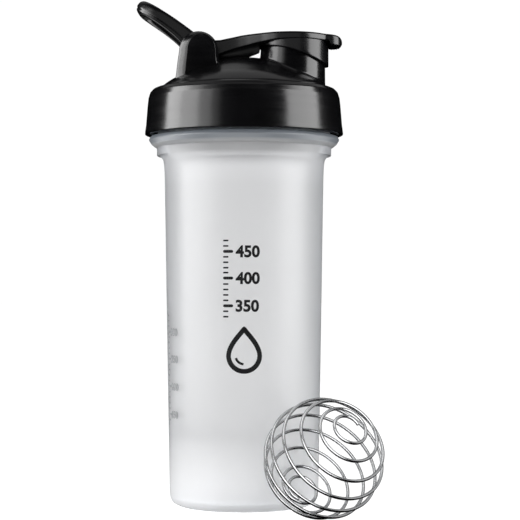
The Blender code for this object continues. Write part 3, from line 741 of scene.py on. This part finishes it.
# ---------------------------------------------------------------- whisk ball
def spiral_point(theta, phi):
    az = POLE_AZ + POLE_AZ_BOW * math.sin(theta)
    el = POLE_EL + POLE_EL_DRIFT * smoothstep(theta / math.pi)
    e3 = Vector((math.cos(el) * math.sin(az), -math.cos(el) * math.cos(az), math.sin(el)))
    e1 = Vector((math.cos(az), math.sin(az), 0.0))
    e2 = e3.cross(e1)
    s = math.sin(theta)
    return Vector(BALL_C) + (BALL_R - WIRE_R) * (e1 * s * math.cos(phi) + e2 * s * math.sin(phi) + e3 * math.cos(theta))


def spiral_phase(theta):
    uneven = sum(a * math.sin((k + 1) * theta) for k, a in enumerate(SPIRAL_WAVES))
    return SPIRAL_PHASE + 2 * math.pi * (SPIRAL_TURNS * theta / math.pi + uneven)


def ball_line(n):
    """Centre line of the wire in n steps of equal length: head ring, spiral, tail ring."""
    start, end = SPIRAL_START, math.pi - SPIRAL_END
    p0, p1 = spiral_phase(start), spiral_phase(end)
    angles = [(start - HEAD_STEP * (1 - k / 60), p0 - 2 * math.pi * HEAD_TURN * (1 - k / 60)) for k in range(60)]
    for k in range(3001):
        theta = math.acos(math.cos(start) + (math.cos(end) - math.cos(start)) * k / 3000)
        angles.append((theta, spiral_phase(theta)))
    angles += [(end + TAIL_STEP * k / 90, p1 + 2 * math.pi * TAIL_TURN * k / 90) for k in range(1, 91)]
    line = [spiral_point(*a) for a in angles]
    run = [0.0]
    for a, b in zip(line, line[1:]):
        run.append(run[-1] + (b - a).length)
    out, i = [], 0
    for k in range(n + 1):
        s = run[-1] * k / n
        while i < len(line) - 2 and run[i + 1] < s:
            i += 1
        out.append(line[i].lerp(line[i + 1], min(1.0, (s - run[i]) / (run[i + 1] - run[i]))))
    return out


def make_ball(mat):
    n, sides = 1500, 16
    centre = ball_line(n)
    sections = []

    def ring(p, tangent, r):
        outward = (p - Vector(BALL_C)).normalized()
        across = tangent.cross(outward).normalized()
        outward = across.cross(tangent).normalized()
        return [tuple(p + r * (outward * math.cos(2 * math.pi * j / sides) + across * math.sin(2 * math.pi * j / sides))) for j in range(sides)]

    first = (centre[1] - centre[0]).normalized()
    last = (centre[-1] - centre[-2]).normalized()
    for k in range(1, 5):
        a = math.pi / 2 * k / 5
        sections.append(ring(centre[0] - first * WIRE_R * 0.8 * math.cos(a), first, WIRE_R * math.sin(a)))
    for i, p in enumerate(centre):
        tangent = (centre[min(i + 1, n)] - centre[max(i - 1, 0)]).normalized()
        sections.append(ring(p, tangent, WIRE_R))
    for k in range(4, 0, -1):
        a = math.pi / 2 * k / 5
        sections.append(ring(centre[-1] + last * WIRE_R * 0.8 * math.cos(a), last, WIRE_R * math.sin(a)))
    return piece("whisk_wire", *loft(sections), mat=mat, sharp=80)


# ---------------------------------------------------------------- marks on the wall
def volume_height(ml):
    """Height of the surface of that much drink inside the tumbler, mm."""
    z, v, dz = FLOOR_Z, 0.0, 0.25
    while v < ml * 1000:
        r = WALL_R(max(14.0, z)) - WALL
        v += math.pi * r * r * dz
        z += dz
    return z


def flat_bar(u0, u1, v0, v1):
    return [[(u0, v0), (u1, v0), (u1, v1), (u0, v1)]]


def text_polys(body, size, bold):
    """Filled outlines of a few digits, in mm, as a flat mesh."""
    cu = bpy.data.curves.new("digits", "FONT")
    cu.body = body
    cu.size = size
    cu.align_x = "LEFT"
    cu.align_y = "CENTER"
    cu.offset = bold
    cu.resolution_u = 5
    ob = bpy.data.objects.new("digits", cu)
    bpy.context.scene.collection.objects.link(ob)
    dg = bpy.context.evaluated_depsgraph_get()
    mesh = bpy.data.meshes.new_from_object(ob.evaluated_get(dg))
    verts = [(v.co.x, v.co.y) for v in mesh.vertices]
    faces = [list(f.vertices) for f in mesh.polygons]
    bpy.data.objects.remove(ob, do_unlink=True)
    bpy.data.meshes.remove(mesh)
    return verts, faces


def wrapped(name, shapes, azimuth, thickness, lift, mat, step=0.8):
    """Flat shapes (verts, faces) in mm, u across and v up, wrapped on the tumbler's wall round an azimuth, as thin closed bodies."""
    bm = bmesh.new()
    for verts, faces in shapes:
        vs = [bm.verts.new((u, v, 0.0)) for u, v in verts]
        for f in faces:
            try:
                bm.faces.new([vs[i] for i in f])
            except ValueError:
                pass
    bmesh.ops.remove_doubles(bm, verts=bm.verts, dist=1e-4)
    us = [v.co.x for v in bm.verts]
    u = math.floor(min(us) / step) * step
    while u < max(us):
        geom = bm.verts[:] + bm.edges[:] + bm.faces[:]
        bmesh.ops.bisect_plane(bm, geom=geom, plane_co=(u, 0, 0), plane_no=(1, 0, 0), dist=1e-5)
        u += step
    for f in bm.faces:
        if f.normal.z < 0:
            f.normal_flip()
    base = bm.faces[:]
    made = bmesh.ops.extrude_face_region(bm, geom=base)
    top = [g for g in made["geom"] if isinstance(g, bmesh.types.BMVert)]
    for v in top:
        v.co.z = 1.0
    for v in bm.verts:
        r = WALL_R(v.co.y) + lift + thickness * v.co.z
        a = azimuth + v.co.x / WALL_R(v.co.y)
        v.co = Vector((r * math.sin(a), -r * math.cos(a), v.co.y)) * MM
    bmesh.ops.recalc_face_normals(bm, faces=bm.faces)
    mesh = bpy.data.meshes.new(name)
    bm.to_mesh(mesh)
    bm.free()
    mesh.materials.append(mat)
    obj = bpy.data.objects.new(name, mesh)
    bpy.context.scene.collection.objects.link(obj)
    return obj


def bar(u0, u1, v, w):
    n = 4
    h = w / 2
    pts = []
    for k in range(n + 1):
        a = -math.pi / 2 + math.pi * k / n
        pts.append((u1 - h + h * math.cos(a), v + h * math.sin(a)))
    for k in range(n + 1):
        a = math.pi / 2 + math.pi * k / n
        pts.append((u0 + h + h * math.cos(a), v + h * math.sin(a)))
    return pts, [list(range(len(pts)))]


def placed(shape, du, dv, align=None):
    verts, faces = shape
    us = [u for u, _ in verts]
    vs = [v for _, v in verts]
    shift = du - (max(us) if align == "right" else min(us) if align == "left" else (min(us) + max(us)) / 2)
    lift = dv - (min(vs) + max(vs)) / 2
    return [(u + shift, v + lift) for u, v in verts], faces


def band(points, widths, closed=True):
    """A ribbon of given width along a line of points."""
    n = len(points)
    verts = []
    for i, (u, v) in enumerate(points):
        a = points[(i - 1) % n] if closed or i else points[i]
        b = points[(i + 1) % n] if closed or i < n - 1 else points[i]
        tu, tv = b[0] - a[0], b[1] - a[1]
        l = math.hypot(tu, tv)
        nu, nv = -tv / l, tu / l
        w = widths(i / n) / 2
        verts.append((u + nu * w, v + nv * w))
        verts.append((u - nu * w, v - nv * w))
    faces = []
    for i in range(n if closed else n - 1):
        k = (i + 1) % n
        faces.append([2 * i, 2 * i + 1, 2 * k + 1, 2 * k])
    return verts, faces


def print_shapes():
    """A plain measuring scale over a plain drop."""
    shapes = []
    for ml in range(330, 471, 10):
        z = volume_height(ml)
        long = ml % 50 == 0
        shapes.append(bar(-9.8, -5.0 if long else -7.2, z, 1.35 if long else 0.75))
        if long:
            shapes.append(placed(text_polys(str(ml), 7.3, 0.26), -3.9, z, "left"))
    v0, v1 = 65.6, 85.2
    cu, r = 0.0, 7.2
    cv = v0 + r
    drop = []
    for k in range(72):
        a = 2 * math.pi * k / 72 - math.pi / 2
        u, v = r * math.cos(a), r * math.sin(a)
        if v > 0:
            q = v / r
            u *= (1 - q ** 1.5) ** 0.72 if q < 1 else 0.0
            v = (v1 - cv) * q ** 0.92
        drop.append((cu + u, cv + v))
    shapes.append(band(drop, lambda q: 2.2))
    arc = []
    for k in range(15):
        a = math.radians(196 + 70 * k / 14)
        arc.append((cu + 3.9 * math.cos(a), cv + 3.9 * math.sin(a)))
    shapes.append(band(arc, lambda q: 1.1, closed=False))
    return shapes


def relief_shapes():
    shapes = []
    low, high = volume_height(130), volume_height(340)
    shapes.append(bar_up(-3.6, low, high, 1.1))
    for ml in range(140, 331, 10):
        z = volume_height(ml)
        long = ml % 50 == 0
        shapes.append(bar(-3.1, 1.4 if long else -0.9, z, 0.9 if long else 0.6))
        if long:
            shapes.append(placed(text_polys(str(ml), 4.8, 0.1), 2.2, z, "left"))
    return shapes


def bar_up(u, v0, v1, w):
    """A standing bar."""
    pts, faces = bar(v0, v1, 0.0, w)
    return [(u - y, x) for x, y in pts], faces


# ---------------------------------------------------------------- make everything
MAT = {
    "tumbler": frosted_plastic(),
    "relief": frosted_plastic("frosted_relief", 0.55),
    "lid": black_plastic("lid_black_plastic", (0.0018, 0.0018, 0.0021), 0.19, 0.5),
    "cap": black_plastic("cap_black_plastic", (0.0020, 0.0020, 0.0023), 0.24, 0.5, streaks=False),
    "loop": black_plastic("loop_black_plastic", (0.0020, 0.0020, 0.0023), 0.24, 0.5, streaks=False),
    "pin": black_plastic("pin_black_plastic", (0.02, 0.02, 0.021), 0.42, 0.5, streaks=False),
    "seal": silicone(),
    "wire": steel(),
    "ink": ink(),
}


def place(obj, body, slot, *nodes):
    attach(obj, body)
    if nodes:
        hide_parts(*nodes)
    return obj


place(piece("tumbler_wall", *turned(tumbler_rows, SEG), mat=MAT["tumbler"]), "bottle", "tumbler", "bottle_body")
place(wrapped("printed_scale", print_shapes(), 0.0, 0.05, 0.02, MAT["ink"]), "bottle", "tumbler")
place(wrapped("moulded_scale", relief_shapes(), math.radians(-72), 0.42, -0.12, MAT["relief"]), "bottle", "tumbler")
place(make_lid(MAT["lid"]), "lid", "lid", "lid_shell")
si, so, s0, s1 = SEAL
seal_rows = rounded([(si, s0, 0.25), (so, s0, 0.35), (so, s1, 0.35), (si, s1, 0.25)], 4, closed=True)
place(piece("sealing_ring", *turned(lambda a: seal_rows, SEG, ring=True), mat=MAT["seal"]), "seal", "seal", "lid_seal")
place(cylinder_y("hinge_rod", HINGE_X, HINGE_Z, PIN_R, -16.2, 17.6, 48, mat=MAT["pin"], chamfer=0.35), "lid", "pin", "hinge_pin")
place(make_cap(MAT["cap"]), "cap", "cap", "flip_cap")
place(make_loop(MAT["loop"]), "loop", "loop", "carry_loop")
place(make_ball(MAT["wire"]), "whisk", "wire", "whisk_ball")


# ---------------------------------------------------------------- floor, light and camera
def make_stage():
    m, nt, p = new_material("studio_floor")
    co = node(nt, "ShaderNodeTexCoord").outputs["Object"]
    broad = noise(nt, co, 3.0, 2.0)
    nt.links.new(ramp(nt, broad, [(0.3, (0.115, 0.115, 0.115)), (0.7, (0.13, 0.13, 0.13))]), p.inputs["Base Color"])
    p.inputs["Roughness"].default_value = 0.85
    p.inputs["Specular IOR Level"].default_value = 0.05
    p.inputs["Emission Color"].default_value = (1.0, 1.0, 1.0, 1.0)
    # painted light: the floor glows brighter in a disc under the bottle's foot, lighting the tumbler's base from below
    reach = node(nt, "ShaderNodeVectorMath", operation="LENGTH")
    nt.links.new(co, reach.inputs[0])
    nt.links.new(remap(nt, reach.outputs["Value"], 1.75, 0.94, 0.0325, 0.0350), p.inputs["Emission Strength"])
    verts, faces = turned(lambda a: [(0, 0), (60, 0), (200, 0), (600, 0), (1500, 0), (6000, 0), (6000, -20), (0, -20)], 96)
    floor = piece("studio_floor", [(x, y, z - 0.02) for x, y, z in verts], faces, mat=m)
    floor.visible_glossy = False


def area(name, azimuth, distance, z, width, height, radiance, aim=(0, 0, 0.12)):
    """A soft box. azimuth 0 is the camera's side, positive to the right as seen by it, degrees; radiance of its face."""
    data = bpy.data.lights.new(name, "AREA")
    data.shape = "RECTANGLE"
    data.size, data.size_y = width, height
    data.energy = radiance * math.pi * width * height
    obj = bpy.data.objects.new(name, data)
    bpy.context.scene.collection.objects.link(obj)
    a = math.radians(azimuth)
    obj.location = (distance * math.sin(a), -distance * math.cos(a), z)
    obj.rotation_mode = "QUATERNION"
    obj.rotation_quaternion = (Vector(aim) - obj.location).to_track_quat("-Z", "Y")
    obj.visible_camera = False
    return obj


def lights_only(light, names):
    """The light falls on the named pieces alone."""
    group = bpy.data.collections.new(light.name + "_takes")
    for name in names:
        group.objects.link(bpy.data.objects[name])
    light.light_linking.receiver_collection = group


def keeps_off(light, names):
    """The light falls on everything but the named pieces."""
    group = bpy.data.collections.new(light.name + "_skips")
    for name in names:
        group.objects.link(bpy.data.objects[name])
    for link in group.collection_objects:
        link.light_linking.link_state = "EXCLUDE"
    light.light_linking.receiver_collection = group


def make_lights():
    world = bpy.data.worlds.new("studio")
    bpy.context.scene.world = world
    world.use_nodes = True
    bg = world.node_tree.nodes["Background"]
    bg.inputs["Color"].default_value = (1.0, 1.0, 1.0, 1.0)
    bg.inputs["Strength"].default_value = 1.02
    world.cycles_visibility.glossy = False
    # name, azimuth, width, radiance: a bright box at each side, the left one fading towards the camera
    for name, az, width, radiance in (
        ("soft_left_a", -90, 0.50, 8.6), ("soft_left_b", -66, 0.44, 6.4), ("soft_left_c", -47, 0.34, 2.8), ("soft_left_d", -34, 0.2, 0.8),
        ("soft_right", 74, 0.96, 6.4),
    ):
        box = area(name, az, 1.15, 0.46, width, 0.92, radiance)
        # the boxes give their sheen, and aren't seen through the tumbler from the far side
        box.visible_transmission = False
        keeps_off(box, ["whisk_wire"])
    area("soft_top", 180, 0.55, 1.15, 1.5, 1.0, 0.38)
    # white cards lying on the floor carry the boxes' light to the lower part of the tumbler
    wall = ["tumbler_wall", "moulded_scale"]
    for name, az, distance, size, radiance in (("card_left", -84, 0.62, 0.8, 4.2), ("card_right", 74, 0.62, 0.8, 3.6), ("card_front", 0, 0.62, 0.9, 1.0), ("card_near", -8, 0.17, 0.2, 2.2)):
        a = math.radians(az)
        spot = (distance * math.sin(a), -distance * math.cos(a))
        card = area(name, az, distance, 0.002, size, size, radiance, aim=(spot[0], spot[1], 1.0))
        card.visible_transmission = False
        lights_only(card, wall)
    # broad lights that only the steel wire takes give each wire its bright core
    ball = (0.036, -0.054, 0.03)
    for name, az, distance, z, width, height, radiance in (
        ("wire_front", 4, 1.2, 0.50, 1.8, 1.5, 2.3), ("wire_left", -88, 1.2, 0.6, 1.2, 1.6, 0.6), ("wire_right", 88, 1.2, 0.6, 1.2, 1.6, 0.6),
        ("wire_top", 0, 0.3, 1.5, 1.3, 1.0, 1.5),
    ):
        lights_only(area(name, az, distance, z, width, height, radiance, aim=ball), ["whisk_wire"])
    # dim fills for the lid from above, and for the near sides and the underside of the cap and the loop
    lights_only(area("fill_over", -8, 0.5, 1.3, 1.3, 0.9, 0.42, aim=(0, 0, 0.2)), ["lid_body"])
    lights_only(area("card_loop", -141, 0.30, 0.002, 0.5, 0.5, 1.6, aim=(-0.189, 0.233, 1.0)), ["carry_loop_bar"])
    lights_only(area("fill_front", -6, 1.3, 0.45, 1.5, 0.9, 0.36, aim=(0, 0, 0.22)), ["flip_cap_shell", "carry_loop_bar"])


def make_camera():
    data = bpy.data.cameras.new("camera")
    data.sensor_width = 36.0
    data.lens = 116.17
    data.clip_start, data.clip_end = 0.01, 50.0
    cam = bpy.data.objects.new("camera", data)
    bpy.context.scene.collection.objects.link(cam)
    cam.location = (0.0, -0.8075, 0.1087)
    yaw, pitch = math.radians(0.543), math.radians(0.598)
    direction = Vector((math.sin(yaw) * math.cos(pitch), math.cos(yaw) * math.cos(pitch), math.sin(pitch)))
    cam.rotation_mode = "QUATERNION"
    cam.rotation_quaternion = direction.to_track_quat("-Z", "Y")
    bpy.context.scene.camera = cam


make_camera()
make_stage()
make_lights()
bpy.context.scene.view_settings.view_transform = "Standard"
bpy.context.view_layer.update()
